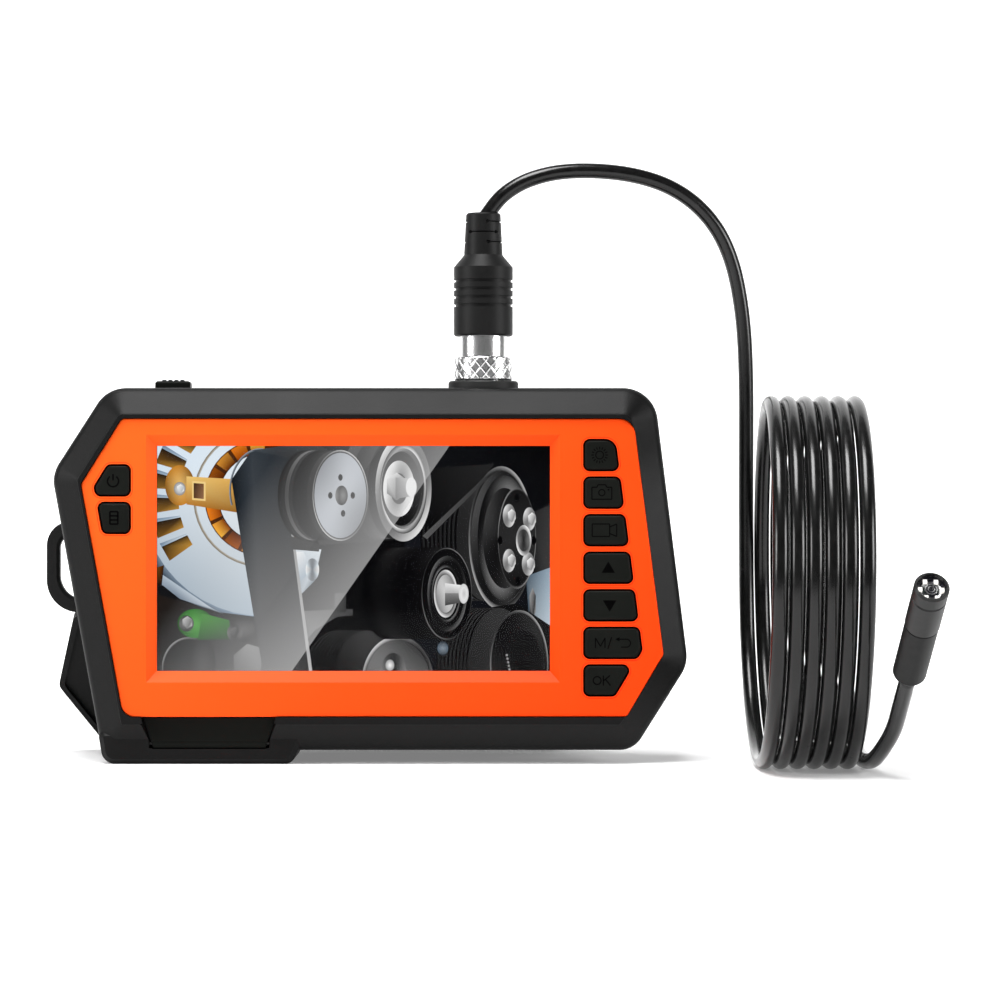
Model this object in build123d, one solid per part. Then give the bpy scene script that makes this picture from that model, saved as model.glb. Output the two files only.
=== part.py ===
from build123d import *
import math
import os

os.makedirs("parts", exist_ok=True)

# Handheld inspection camera, millimetres.  The screen unit stands upright on its foot bump and its
# opened kickstand.  +X is the viewer's right, the screen looks along -Y, +Z is up from the table.
# "Depth" is always counted backwards from the front rim of the screen unit.

# ---- driving dimensions ----
BODY_DEPTH = 28.0
SPLIT_DEPTH = 22.0          # front housing / rear cover joint
WALL = 3.0
RIM_BEVEL_START = 6.4       # the broad bevel starts this far inside the outline
BEVEL_DEPTH = 5.0
LCD_WIDTH, LCD_HEIGHT = 95.2, 54.5
LCD_X, LCD_Z = -3.9, 49.8
KEY_HEIGHT, KEY_PITCH, KEY_TRAVEL = 7.0, 9.07, 0.8
CABLE_D = 3.8
COIL_R = 42.5               # centreline radius of the wound lead
PROBE_D = 7.8
STAND_ANGLE = 30.0          # the kickstand's open stop
STAND_HINGE_Z = 42.0
STAND_THICK = 3.0
STAND_GAP = 2.6             # hinge axis behind the rear cover

# Outlines seen from the front: (x from the middle, z, corner radius), anticlockwise.
BODY = [(-63.8, 91.2, 8.3), (-77.3, 70.2, 8.0), (-65.2, 3.2, 4.0),
        (64.1, 3.2, 6.2), (77.3, 24.1, 8.4), (69.0, 91.2, 8.5)]
PLATE = [(-59.8, 83.7, 1.5), (-69.7, 67.8, 1.5), (-59.5, 11.5, 3.4),
         (62.2, 11.5, 1.5), (71.2, 26.6, 1.5), (63.9, 83.7, 4.1)]
FOOT = [(-65.9, 8.0, 1.5), (-64.6, 0.0, 3.4), (-18.8, 0.0, 2.6), (-15.4, 8.0, 1.5)]

RING_REACH = 80.7           # the ring's outer bar, from the body's middle
BODY_REACH = 77.0           # the body's rounded right end, from its middle
MID_X = (RING_REACH - BODY_REACH) / 2
STAND_BACK = (STAND_HINGE_Z + STAND_THICK / 2 * math.sin(math.radians(STAND_ANGLE))) \
    * math.tan(math.radians(STAND_ANGLE)) + STAND_THICK / 2 * math.cos(math.radians(STAND_ANGLE))
FRONT = -(BODY_DEPTH + STAND_GAP + STAND_BACK) / 2
BACK = FRONT + BODY_DEPTH


# ---- small helpers ----
def at_depth(depth):
    """Upright drawing plane: sketch x runs along X from the body's middle, sketch y is height."""
    return Plane(origin=(MID_X, FRONT + depth, 0), x_dir=(1, 0, 0), z_dir=(0, -1, 0))


def slab(sketch, near, far):
    """The sketch as a plate between two depths."""
    return extrude(at_depth(near) * sketch, amount=-(far - near))


def block(x0, x1, near, far, z0, z1):
    """A rectangular block by its x range, depth range and height range."""
    size = (x1 - x0, far - near, z1 - z0)
    return Pos(MID_X + (x0 + x1) / 2, FRONT + (near + far) / 2, (z0 + z1) / 2) * Box(*size)


def rod_back(x, z, radius, near, far):
    """A cylinder along the depth axis."""
    return slab(Pos(x, z) * Circle(radius), near, far)


def rod_up(x, depth, radius, z0, z1):
    """An upright cylinder."""
    return Pos(MID_X + x, FRONT + depth, (z0 + z1) / 2) * Cylinder(radius, z1 - z0)


def rod_across(depth, z, radius, x0, x1):
    """A cylinder along X."""
    return Pos(MID_X + (x0 + x1) / 2, FRONT + depth, z) * Rot(0, 90, 0) * Cylinder(radius, x1 - x0)


def inset(corners, amount, sharp=False):
    """The outline moved inwards by this much, each corner radius following."""
    moved = []
    for i, (x, z, radius) in enumerate(corners):
        ahead = corners[(i + 1) % len(corners)]
        arrive = Vector(x - corners[i - 1][0], z - corners[i - 1][1]).normalized()
        leave = Vector(ahead[0] - x, ahead[1] - z).normalized()
        inward_a = Vector(-arrive.Y, arrive.X)
        inward_b = Vector(-leave.Y, leave.X)
        shift = (inward_a + inward_b) * (amount / (1 + inward_a.dot(inward_b)))
        moved.append((x + shift.X, z + shift.Y, 0 if sharp else max(radius - amount, 0.4)))
    return moved


def face(corners):
    """A filled outline with its rounded corners."""
    points = [(x, z) for x, z, radius in corners]
    radii = [radius for x, z, radius in corners]
    return make_face(FilletPolyline(*points, radius=radii, close=True))


def tub(outer, inner, near, far):
    """A tapering block between two outlines at two depths."""
    return loft([at_depth(near) * outer, at_depth(far) * inner], ruled=True)


def save(name, *solids):
    """One file per piece; a group of like pieces is one file of separate solids."""
    shape = solids[0] if len(solids) == 1 else Compound(children=list(solids))
    shape.label = name
    export_step(shape, f"parts/{name}.step")
    return shape


# ---- places shared by several pieces ----
HOUSING_SCREWS = [(-62.0, 82.5), (61.5, 83.5), (60.0, 10.0), (-59.5, 10.5)]
BOARD_SCREWS = [(-40.0, 85.3), (46.0, 85.3), (-8.0, 9.6), (45.0, 9.6)]
BOARD_FRONT, BOARD_BACK = 7.0, 8.6
PLUG_X, PLUG_DEPTH = 27.5, 15.0
TOP = BODY[0][1]
SWITCH_X, SWITCH_DEPTH = -48.5, 15.0
SWITCH_TRAVEL = 2.5
RING_Z, RING_HALF, RING_BAR = 47.4, 11.3, 3.2
RING_PIN_X, RING_DEPTH, RING_THICK = -70.2, 25.0, 3.0
PORT_X0, PORT_X1 = -53.2, -24.4


# ---- nine keys ----
def key_outline(field_inset, x0, x1, top):
    """One key's outline: its row cut out of the outline that follows the face plate's edge."""
    field = face([(x, z, 0.01) for x, z, r in inset(PLATE, field_inset, sharp=True)])
    row = Pos((x0 + x1) / 2, top - KEY_HEIGHT / 2) * Rectangle(x1 - x0, KEY_HEIGHT)
    corners = (field & row).face().outer_wire().vertices()
    points = [(v.X, v.Y) for v in corners]
    middle = Vector(sum(p[0] for p in points) / len(points), sum(p[1] for p in points) / len(points))
    points.sort(key=lambda p: math.atan2(p[1] - middle.Y, p[0] - middle.X))
    spread = [p for i, p in enumerate(points) if math.dist(p, points[i - 1]) > 0.3]
    return [(x, z, 1.2) for x, z in spread]


RIGHT_KEYS = ["light", "photo", "video", "up", "down", "return", "ok"]
LEFT_KEYS = ["power", "menu"]
KEYS = {}
for i, name in enumerate(RIGHT_KEYS):
    KEYS[name] = key_outline(5.4, 52.1, 75.0, 78.3 - i * KEY_PITCH)
for i, name in enumerate(LEFT_KEYS):
    KEYS[name] = key_outline(3.4, -75.0, -57.9, 72.2 - i * KEY_PITCH)


def soften_outer_corner(corners, radius):
    """The corner farthest to the upper right gets a larger radius, as the plate's corner has."""
    outer = max(corners, key=lambda corner: corner[0] + corner[1])
    return [(x, z, radius if (x, z, r) == outer else r) for x, z, r in corners]


KEYS["light"] = soften_outer_corner(KEYS["light"], 2.6)


def key(outline):
    """A moulded key: soft-edged cap, retaining flange behind the plate, plunger to its switch."""
    cap = slab(face(outline), 0.35, 2.8)
    cap = fillet(cap.edges().group_by(Axis.Y)[0], radius=0.5)
    flange = slab(face(inset(outline, -0.8)), 2.8, 3.5)
    x, z = key_centre(outline)
    return cap + flange + rod_back(x, z, 1.6, 3.5, 5.3)


def key_centre(outline):
    """The plunger stands in the middle of the key."""
    xs = [x for x, z, r in outline]
    zs = [z for x, z, r in outline]
    return (min(xs) + max(xs)) / 2, (min(zs) + max(zs)) / 2


for name, outline in KEYS.items():
    save(f"key_{name}", key(outline))

# Small switches on the board, one behind each plunger, just past its travel.
SWITCH_FACE = 5.3 + KEY_TRAVEL + 0.1
save("key_switches", *[slab(Pos(*key_centre(o)) * Rectangle(4.8, 4.8), SWITCH_FACE, BOARD_FRONT)
                       for o in KEYS.values()])


# ---- face plate ----
def face_plate():
    """Moulded hexagonal plate: key apertures and a sloped recess round the screen."""
    plate = slab(face(inset(PLATE, 0.1)), 0.6, 2.6)
    plate = fillet(plate.edges().group_by(Axis.Y)[0], radius=0.35)
    plate += slab(Pos(LCD_X, LCD_Z) * Rectangle(LCD_WIDTH + 8, LCD_HEIGHT + 8), 2.6, 3.4)
    middle = Pos(LCD_X, LCD_Z)
    wide = middle * Rectangle(LCD_WIDTH + 4.9, LCD_HEIGHT + 5.5)
    narrow = middle * Rectangle(LCD_WIDTH, LCD_HEIGHT)
    plate -= tub(wide, narrow, 0.5, 3.2)
    plate -= slab(narrow, 3.1, 3.5)
    for outline in KEYS.values():
        plate -= slab(face(inset(outline, -0.45)), 0.5, 2.7)
    return plate


save("face_plate", face_plate())


# ---- housing ----
def shell_form():
    """Outer form of the front housing: thin rim, broad bevel, rolled edge, straight sides."""
    bevel = tub(face(inset(BODY, RIM_BEVEL_START)), face(BODY), 0.5, BEVEL_DEPTH)
    sides = slab(face(BODY), BEVEL_DEPTH, SPLIT_DEPTH)
    form = bevel + sides
    rolled = form.edges().filter_by_position(Axis.Y, FRONT + BEVEL_DEPTH - 0.01, FRONT + BEVEL_DEPTH + 0.01)
    form = fillet(rolled, radius=3.0)
    rim = slab(face(inset(BODY, RIM_BEVEL_START + 0.05)), 0.0, 2.0)
    return form + fillet(rim.edges().group_by(Axis.Y)[0], radius=0.25)


FOOT_FRONT, FOOT_BEVEL = 3.0, 1.2


def foot_bump(near, far):
    """The bump under the left half that the unit stands on."""
    return slab(face(FOOT), near, far)


def foot_nose():
    """The bevelled front end of the foot bump."""
    return tub(face(inset(FOOT, FOOT_BEVEL)), face(FOOT), FOOT_FRONT, FOOT_FRONT + FOOT_BEVEL)


FLAP_X = (PORT_X0 + PORT_X1) / 2
FLAP_FRONT, FLAP_BACK = 3.4, 4.7        # the flap stands upright in its recess
FLAP_LOW, FLAP_HIGH = 4.0, 11.2         # heights of its lower and upper edges
FLAP_NARROW, FLAP_WIDE = 13.6, 16.0     # its half width at those edges
RECESS_TOP = 11.5
HINGE_DEPTH, HINGE_Z = 4.2, 5.0


def flap_rod(radius, length):
    """A cylinder on the flap's hinge line."""
    return rod_across(HINGE_DEPTH, HINGE_Z, radius, FLAP_X - length / 2, FLAP_X + length / 2)


def trapezoid(grow, high):
    """Outline of the flap, wider at its upper edge."""
    bottom, top, low = FLAP_NARROW + grow, FLAP_WIDE + grow, FLAP_LOW - grow
    outline = Polyline((-bottom, low), (bottom, low), (top, high), (-top, high), close=True)
    return Pos(FLAP_X, 0) * make_face(outline)


def flap_room():
    """The room the widening flap sweeps as it swings out by a right angle, and stands in there."""
    reach = FLAP_HIGH - HINGE_Z + 0.3
    spread = (FLAP_WIDE - FLAP_NARROW) / (FLAP_HIGH - FLAP_LOW)
    near = FLAP_NARROW + (HINGE_Z - FLAP_LOW) * spread + 0.3
    far = near + reach * spread
    wide = make_face(Polyline((-near, 0), (near, 0), (far, reach), (-far, reach), close=True))
    swing = revolve(Rot(90, 0, 0) * wide, Axis.X, 90)
    opened = extrude(Rot(180, 0, 0) * wide, amount=1.1)
    return Pos(MID_X + FLAP_X, FRONT + HINGE_DEPTH, HINGE_Z) * (swing + opened)


def front_housing():
    """Rugged front housing: rim, plate seat, open inside, socket hole, switch slot, port bay."""
    body = shell_form() + foot_nose() + foot_bump(FOOT_FRONT + FOOT_BEVEL, SPLIT_DEPTH)
    body -= slab(face(PLATE), -1, 2.65)
    body -= slab(face(inset(PLATE, 2.0)), 2.0, 6.5)
    body -= slab(face(inset(BODY, WALL)), 6.0, SPLIT_DEPTH + 1)
    for x, z in HOUSING_SCREWS:
        body += rod_back(x, z, 3.2, 5.5, SPLIT_DEPTH) - rod_back(x, z, 1.25, 10, SPLIT_DEPTH + 1)
    for x, z in BOARD_SCREWS:
        body += rod_back(x, z, 2.4, 5.5, BOARD_FRONT)
        body -= rod_back(x, z, 0.9, 3.6, BOARD_FRONT + 1)
    body -= slab(trapezoid(0.3, RECESS_TOP), -1, FLAP_BACK + 0.2)
    body -= flap_rod(1.5, 29.0) + flap_rod(0.47, 32.4)
    body -= flap_room()
    body -= block(PORT_X0, PORT_X1, 1.5, 6.5, 5.2, 10.2)
    body -= rod_up(PLUG_X, PLUG_DEPTH, 5.95, TOP - 5, TOP + 1)
    body -= block(SWITCH_X - 1.6, SWITCH_X + 1.6 + SWITCH_TRAVEL, SWITCH_DEPTH - 1.4, SWITCH_DEPTH + 1.4,
                  TOP - 5, TOP + 1)
    for x in (PORT_X0 + 0.6, PORT_X1 - 0.6):
        body += block(x - 0.8, x + 0.8, 8.9, 20, 5.0, 9.6)
    return body


def rear_cover():
    """Rear cover: shallow tray, screw wells, ring notch, hinge lugs for the kickstand."""
    cover = slab(face(BODY), SPLIT_DEPTH, BODY_DEPTH)
    cover = fillet(cover.edges().group_by(Axis.Y)[-1], radius=2.6)
    cover += foot_bump(SPLIT_DEPTH, BODY_DEPTH - 2)
    cover -= slab(face(inset(BODY, WALL)), SPLIT_DEPTH - 1, BODY_DEPTH - 2.6)
    for x, z in HOUSING_SCREWS:
        cover += rod_back(x, z, 3.9, SPLIT_DEPTH, BODY_DEPTH - 1)
        cover -= rod_back(x, z, 1.5, SPLIT_DEPTH - 1, BODY_DEPTH + 1)
        cover -= rod_back(x, z, 2.7, BODY_DEPTH - 3.0, BODY_DEPTH + 1)
    notch = RING_HALF + 0.3
    cover += block(-72.5, -64.5, SPLIT_DEPTH, BODY_DEPTH - 0.6, RING_Z - notch - 2, RING_Z + notch + 2)
    cover -= block(-80, -66.6, SPLIT_DEPTH + 0.6, BODY_DEPTH + 1, RING_Z - notch, RING_Z + notch)
    cover -= rod_up(RING_PIN_X, RING_DEPTH, 1.0, RING_Z - notch - 1.5, RING_Z + notch + 1.5)
    for x0, x1 in STAND_LUGS:
        lug = block(x0, x1, BODY_DEPTH - 0.5, STAND_DEPTH, STAND_HINGE_Z - 2.3, STAND_HINGE_Z + 2.3)
        lug += rod_across(STAND_DEPTH, STAND_HINGE_Z, 2.3, x0, x1)
        cover += lug - rod_across(STAND_DEPTH, STAND_HINGE_Z, 1.0, x0 - 1, x1 + 1)
    return cover


# ---- kickstand ----
STAND_DEPTH = BODY_DEPTH + STAND_GAP
STAND_LUGS = [(-44.0, -38.0), (30.0, 36.0)]
STAND_OUTLINE = [(-60.0, 2.3, 1.0), (-60.0, -4.0, 1.5), (-75.2, -7.6, 2.0), (-80.2, -28.2, 3.0),
                 (-66.0, -51.0, 1.0), (44.0, -51.0, 1.0), (57.0, -28.2, 3.0), (54.0, -7.6, 2.0),
                 (50.0, -4.0, 1.5), (50.0, 2.3, 1.0)]
STAND_FRAME = Plane(origin=(MID_X, FRONT + STAND_DEPTH, STAND_HINGE_Z), x_dir=(1, 0, 0),
                    z_dir=(0, -1, 0)).rotated((STAND_ANGLE, 0, 0))


def kickstand():
    """Flared plate with a stiffening rim, swung open about the rear hinge."""
    half = STAND_THICK / 2
    plate = extrude(STAND_FRAME.offset(-half) * face(STAND_OUTLINE), amount=STAND_THICK)
    tray = face([(-62.0, -6.0, 1.0), (-73.9, -8.8, 1.5), (-78.8, -28.0, 2.5), (-65.3, -49.6, 0.8),
                 (43.4, -49.6, 0.8), (55.6, -28.0, 2.5), (52.8, -8.8, 1.5), (50.0, -6.0, 1.0)])
    plate -= extrude(STAND_FRAME.offset(half - 1.2) * tray, amount=5)
    barrel = rod_across(STAND_DEPTH, STAND_HINGE_Z, 2.2, -60, 50)
    stand = plate + barrel
    for x0, x1 in STAND_LUGS:
        stand -= block(x0 - 0.3, x1 + 0.3, STAND_DEPTH - 6, STAND_DEPTH + 6,
                       STAND_HINGE_Z - 5.5, STAND_HINGE_Z + 6)
    stand -= rod_across(STAND_DEPTH, STAND_HINGE_Z, 1.05, -80, 80)
    return stand - Pos(0, 0, -20) * Box(400, 400, 40)


save("front_housing", front_housing())
save("rear_cover", rear_cover())
save("kickstand", kickstand())
save("kickstand_pin", rod_across(STAND_DEPTH, STAND_HINGE_Z, 1.0, -59.5, 49.5))


# ---- lanyard ring ----
def lanyard_ring():
    """A flat-sided loop on an upright pin in the rear cover's notch."""
    outer = face([(-RING_REACH, RING_Z + RING_HALF, 6.0), (-RING_REACH, RING_Z - RING_HALF, 8.0),
                  (RING_PIN_X, RING_Z - RING_HALF, 0.5), (RING_PIN_X, RING_Z + RING_HALF, 0.5)])
    inside = RING_HALF - RING_BAR
    hole = [(-RING_REACH + RING_BAR, RING_Z + inside, 3.5), (-RING_REACH + RING_BAR, RING_Z - inside, 6.0),
            (RING_PIN_X + 4, RING_Z - inside, 0.4), (RING_PIN_X + 4, RING_Z + inside, 0.4)]
    front = RING_DEPTH - RING_THICK / 2
    loop = slab(outer, front, RING_DEPTH + RING_THICK / 2)
    loop += rod_up(RING_PIN_X, RING_DEPTH, 2.0, RING_Z - RING_HALF, RING_Z + RING_HALF)
    loop -= slab(face(hole), RING_DEPTH - 5, RING_DEPTH + 5)
    loop -= tub(face(inset(hole, -0.8)), face(hole), front, front + 0.8)
    return loop - rod_up(RING_PIN_X, RING_DEPTH, 1.05, 0, 90)


save("lanyard_ring", lanyard_ring())
save("ring_pin", rod_up(RING_PIN_X, RING_DEPTH, 1.0, RING_Z - RING_HALF - 1.6, RING_Z + RING_HALF + 1.6))


# ---- fasteners ----
def screw(x, z, head_r, head_h, shank_r, head_depth, tip_depth):
    """A pan screw driven forwards, with a cross slot in its head."""
    body = rod_back(x, z, shank_r, tip_depth, head_depth)
    head = rod_back(x, z, head_r, head_depth, head_depth + head_h)
    for width, height in ((head_r * 1.2, 0.6), (0.6, head_r * 1.2)):
        head -= slab(Pos(x, z) * Rectangle(width, height), head_depth + head_h * 0.4, head_depth + head_h + 1)
    return body + head


save("housing_screws", *[screw(x, z, 2.6, 1.8, 1.2, BODY_DEPTH - 3.0, 12.0) for x, z in HOUSING_SCREWS])
save("board_screws", *[screw(x, z, 1.8, 1.1, 0.85, BOARD_BACK, 4.2) for x, z in BOARD_SCREWS])


# ---- screen and electronics ----
def main_board():
    """The board behind the screen, notched round the housing screws and the port board."""
    board = slab(face(inset(BODY, 5.0)), BOARD_FRONT, BOARD_BACK)
    for x, z in HOUSING_SCREWS:
        board -= rod_back(x, z, 3.6, BOARD_FRONT - 1, BOARD_BACK + 1)
    for x, z in BOARD_SCREWS:
        board -= rod_back(x, z, 1.0, BOARD_FRONT - 1, BOARD_BACK + 1)
    board -= block(-70, PORT_X1 + 3, BOARD_FRONT - 1, BOARD_BACK + 1, 0, 13)
    board -= block(PLUG_X - 9, PLUG_X + 9, BOARD_FRONT - 1, BOARD_BACK + 1, 85, 90)
    return board


middle = Pos(LCD_X, LCD_Z)
save("screen_glass", slab(middle * Rectangle(LCD_WIDTH + 4, LCD_HEIGHT + 4), 3.4, 4.5))
save("lcd_panel", slab(middle * Rectangle(LCD_WIDTH + 8, LCD_HEIGHT + 8), 4.5, 6.8))
save("main_board", main_board())
save("battery_pack", fillet(block(-42, 16, BOARD_BACK + 1.2, 20.0, 26, 68).edges().filter_by(Axis.X), radius=3))
save("battery_tape", block(-36, 10, BOARD_BACK, BOARD_BACK + 1.2, 34, 60))
save("processor", block(24, 38, BOARD_BACK, BOARD_BACK + 1.4, 40, 54),
     block(24, 34, BOARD_BACK, BOARD_BACK + 1.2, 24, 34))


def usb_port():
    """Metal receptacle with an oval mouth facing forwards."""
    shell = slab(Pos(-45.5, 8.0) * RectangleRounded(9.0, 3.2, 1.5), 6.6, 14.0)
    mouth = slab(Pos(-45.5, 8.0) * RectangleRounded(8.3, 2.5, 1.2), 6.0, 13.0)
    tongue = slab(Pos(-45.5, 8.0) * Rectangle(6.6, 0.7), 7.6, 13.5)
    return shell - mouth + tongue


def card_slot():
    """Memory card holder: a flat metal cover, open at the front."""
    cover = slab(Pos(-32.5, 8.75) * Rectangle(13.4, 1.7), 6.6, 20.0)
    return cover - slab(Pos(-32.5, 8.7) * Rectangle(11.4, 0.9), 6.0, 19.0)


save("usb_port", usb_port())
save("card_slot", card_slot())
save("port_board", block(-52.0, -25.6, 6.6, 21.0, 9.6, 10.6))
save("switch_body", block(SWITCH_X - 5, SWITCH_X + 5, SWITCH_DEPTH - 2.2, SWITCH_DEPTH + 2.2, 80.6, 84.2))


# ---- port flap ----
def port_cover():
    """Flap over the ports; it snaps shut in its recess and hinges at its lower edge."""
    flap = slab(trapezoid(0.0, FLAP_HIGH), FLAP_FRONT, FLAP_BACK)
    return flap + flap_rod(0.95, 27.2) - flap_rod(0.5, 40)


save("port_cover", port_cover())
save("port_cover_pin", flap_rod(0.45, 31.8))


# ---- slide switch on the top ----
def slide_knob():
    """Low knob with four grip ribs on its crown and a stem down to the switch."""
    crown = block(SWITCH_X - 4.3, SWITCH_X + 4.3, SWITCH_DEPTH - 2.6, SWITCH_DEPTH + 2.6, TOP + 0.1, TOP + 1.9)
    crown = fillet(crown.edges().group_by(Axis.Z)[-1], radius=0.7)
    for i in range(4):
        x = SWITCH_X - 2.2 + i * 1.47
        crown += block(x - 0.4, x + 0.4, SWITCH_DEPTH - 2.0, SWITCH_DEPTH + 2.0, TOP + 1.5, TOP + 2.2)
    stem = block(SWITCH_X - 1.5, SWITCH_X + 1.5, SWITCH_DEPTH - 1.2, SWITCH_DEPTH + 1.2, 84.3, TOP + 0.4)
    return crown + stem


save("slide_knob", slide_knob())


# ---- plug and socket ----
def turned(*profile):
    """A turned piece on the plug's upright axis, from (radius, z) points."""
    sketch = make_face(Polyline(*profile, close=True))
    solid = revolve(Plane.XZ * sketch, axis=Axis.Z)
    return Pos(MID_X + PLUG_X, FRONT + PLUG_DEPTH, 0) * solid


def socket_body():
    """Panel socket: a plain barrel that stands up through the top wall."""
    return turned((4.75, 76.0), (5.45, 76.0), (5.45, 97.6), (4.75, 97.6))


save("socket_body", socket_body())
save("socket_ring_nut", turned((5.47, 85.9), (8.2, 85.9), (8.2, 88.1), (5.47, 88.1)))
save("socket_washer", turned((5.47, TOP), (8.6, TOP), (8.6, TOP + 1.5), (8.2, TOP + 1.9), (5.47, TOP + 1.9)))
PIN_CIRCLE = [(1.9 * math.cos(math.radians(45 + 90 * i)), 1.9 * math.sin(math.radians(45 + 90 * i)))
              for i in range(4)]
socket_core = turned((0, 77.0), (4.73, 77.0), (4.73, 86.0), (0, 86.0))
for dx, dy in PIN_CIRCLE:
    socket_core -= rod_up(PLUG_X + dx, PLUG_DEPTH + dy, 0.6, 79.0, 87.0)
save("socket_core", socket_core)

save("lock_nut", turned((5.52, 93.3), (7.1, 93.3), (7.35, 93.6), (7.35, 98.6), (7.0, 99.0),
                        (4.95, 99.0), (4.95, 97.9), (5.52, 97.9)))
save("plug_sleeve", turned((3.9, 88.0), (4.68, 88.0), (4.68, 97.75), (4.85, 97.75), (4.85, 99.1), (5.75, 99.1),
                           (5.75, 104.1), (3.9, 104.1)))
plug_core = turned((0, 88.2), (3.88, 88.2), (3.88, 101.0), (0, 101.0))
save("plug_core", plug_core)
save("plug_pins", *[rod_up(PLUG_X + dx, PLUG_DEPTH + dy, 0.5, 80.0, 88.2) for dx, dy in PIN_CIRCLE])

BOOT_GROOVES = [111.6, 113.6, 115.6, 117.6]
NECK_SLOTS = [(127.1, 60), (127.1, 240), (129.6, 0), (129.6, 180), (132.1, 60), (132.1, 240)]


def plug_boot():
    """Rubber boot: ribbed grip, cone, and a slotted neck that lets the cable bend."""
    boot = turned((0, 104.1), (6.9, 104.1), (7.25, 104.5), (7.25, 121.0), (4.75, 124.0), (4.25, 133.9),
                  (3.85, 134.3), (0, 134.3))
    for z in BOOT_GROOVES:
        boot -= turned((6.8, z - 0.35), (9, z - 0.35), (9, z + 0.35), (6.8, z + 0.35))
    for z, around in NECK_SLOTS:
        boot -= neck_slot(z, around)
    return boot


def neck_slot(z, around):
    """A thin slot into the boot's neck that ends in two small round holes."""
    slot = Pos(0, -4.6, 0) * Box(6.4, 4.0, 0.3)
    for side in (-1, 1):
        slot += Pos(side * 3.1, -4.3, 0) * Rot(90, 0, 0) * Cylinder(0.42, 3.4)
    return Pos(MID_X + PLUG_X, FRONT + PLUG_DEPTH, z) * Rot(0, 0, around) * slot


save("plug_boot", plug_boot())

# ---- the lead: a free tube from the boot down beside the coil, the coil, and the tail to the probe ----
COIL_Y = -40.0
COIL_Z = COIL_R + CABLE_D / 2
COIL_X0, COIL_X1 = 96.6, 117.6      # the wound turns stand on the table as a wheel, axis along X


def tube(name, route):
    """Round cable along straight runs joined by arcs as large as the runs allow."""
    points = [Vector(*p) for p in route]
    radii = []
    for before, here, after in zip(points, points[1:], points[2:]):
        turn = math.radians((here - before).get_angle(after - here))
        shorter = min((here - before).length, (after - here).length)
        radii.append(0.45 * shorter / math.tan(turn / 2))
    path = FilletPolyline(*points, radius=radii)
    start = Plane(origin=points[0], z_dir=points[1] - points[0])
    solid = sweep(start * Circle(CABLE_D / 2), path=path)
    ideal = math.pi * CABLE_D ** 2 / 4 * path.length
    print(name, "length", round(path.length, 1), "volume ratio", round(solid.volume / ideal, 4))
    print("  radii", [round(r, 1) for r in radii])
    return save(name, solid)


LEAD_ROUTE = [(29.7, -13.3, 133.0), (32.2, -13.3, 136.9), (36.0, -13.1, 140.3), (41.0, -12.7, 142.9),
              (48.0, -11.8, 144.7), (57.0, -10.4, 145.1), (66.6, -8.5, 144.2), (75.2, -6.5, 141.7),
              (82.2, -4.6, 137.3), (87.5, -3.0, 131.3), (91.0, -1.6, 124.0), (93.1, -0.4, 115.4),
              (94.4, 0.6, 105.3), (94.9, 1.4, 92.2), (94.8, 2.0, 76.6), (94.5, 2.4, 60.0),
              (94.5, 2.5, COIL_Z)]
TAIL_ROUTE = [(119.7, COIL_Y, 1.95), (120.7, -51.0, 2.3), (121.8, -61.5, 5.6), (123.7, -71.5, 11.0),
              (124.1, -80.8, 17.0), (124.84, -91.3, 24.8)]
tube("cable_lead", LEAD_ROUTE)
tube("cable_tail", TAIL_ROUTE)

wheel = Pos((COIL_X0 + COIL_X1) / 2, COIL_Y, COIL_Z) * Rot(0, 90, 0)
coil = Cylinder(COIL_R + CABLE_D / 2, COIL_X1 - COIL_X0) - Cylinder(COIL_R - CABLE_D / 2, 60)
save("cable_coil", wheel * coil)

# ---- probe head: turned pieces on its own slanted axis, local z runs from the cable to the lens ----
PROBE_REAR = Vector(*TAIL_ROUTE[-1])
PROBE_AIM = Vector(0.054, -0.805, 0.592)
PROBE_LENGTH, CAP_START, BARREL_START = 34.8, 30.9, 20.3
PROBE = Plane(origin=PROBE_REAR, x_dir=(1, 0, 0), z_dir=PROBE_AIM.normalized())


def probe_turned(*profile):
    """A turned probe piece from (radius, distance from the cable end) points."""
    sketch = make_face(Polyline(*profile, close=True))
    return PROBE.location * revolve(Plane.XZ * sketch, axis=Axis.Z)


R = PROBE_D / 2
save("probe_sleeve", probe_turned((0, 0.15), (2.4, 0.15), (3.4, 0.6), (R - 0.1, 1.4), (R - 0.1, BARREL_START - 0.3),
                                  (R - 0.4, BARREL_START - 0.05), (0, BARREL_START - 0.05)))
save("probe_barrel", probe_turned((3.3, BARREL_START), (R - 0.3, BARREL_START), (R, BARREL_START + 0.3),
                                  (R, CAP_START - 0.4), (R - 0.3, CAP_START - 0.1), (3.3, CAP_START - 0.1)))
save("probe_cap", probe_turned((3.3, CAP_START), (R - 0.3, CAP_START), (R, CAP_START + 0.3),
                               (R, PROBE_LENGTH - 0.5), (R - 0.4, PROBE_LENGTH), (3.3, PROBE_LENGTH)))
save("probe_window", probe_turned((0, 33.7), (3.28, 33.7), (3.28, 34.4), (0, 34.4)))
save("led_board", probe_turned((1.5, 32.2), (3.25, 32.2), (3.25, 32.9), (1.5, 32.9)))
save("probe_leds", *[PROBE.location * Pos(2.4 * math.cos(math.radians(60 * i)),
                                          2.4 * math.sin(math.radians(60 * i)), 33.25) * Box(0.9, 0.9, 0.68)
                     for i in range(6)])
save("camera_module", probe_turned((0, 22.0), (2.6, 22.0), (2.6, 30.5), (1.48, 31.5), (1.48, 33.6), (0, 33.6)))
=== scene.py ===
# %% [markdown]
# # A handheld inspection camera
# The imported model is the frame: every piece below takes its place from it, in metres. The screen
# looks along -Y, +X is the viewer's right and the table is at z = 0.

# %% Load the frame
import bpy
import bmesh
import math
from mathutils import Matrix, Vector, geometry


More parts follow.
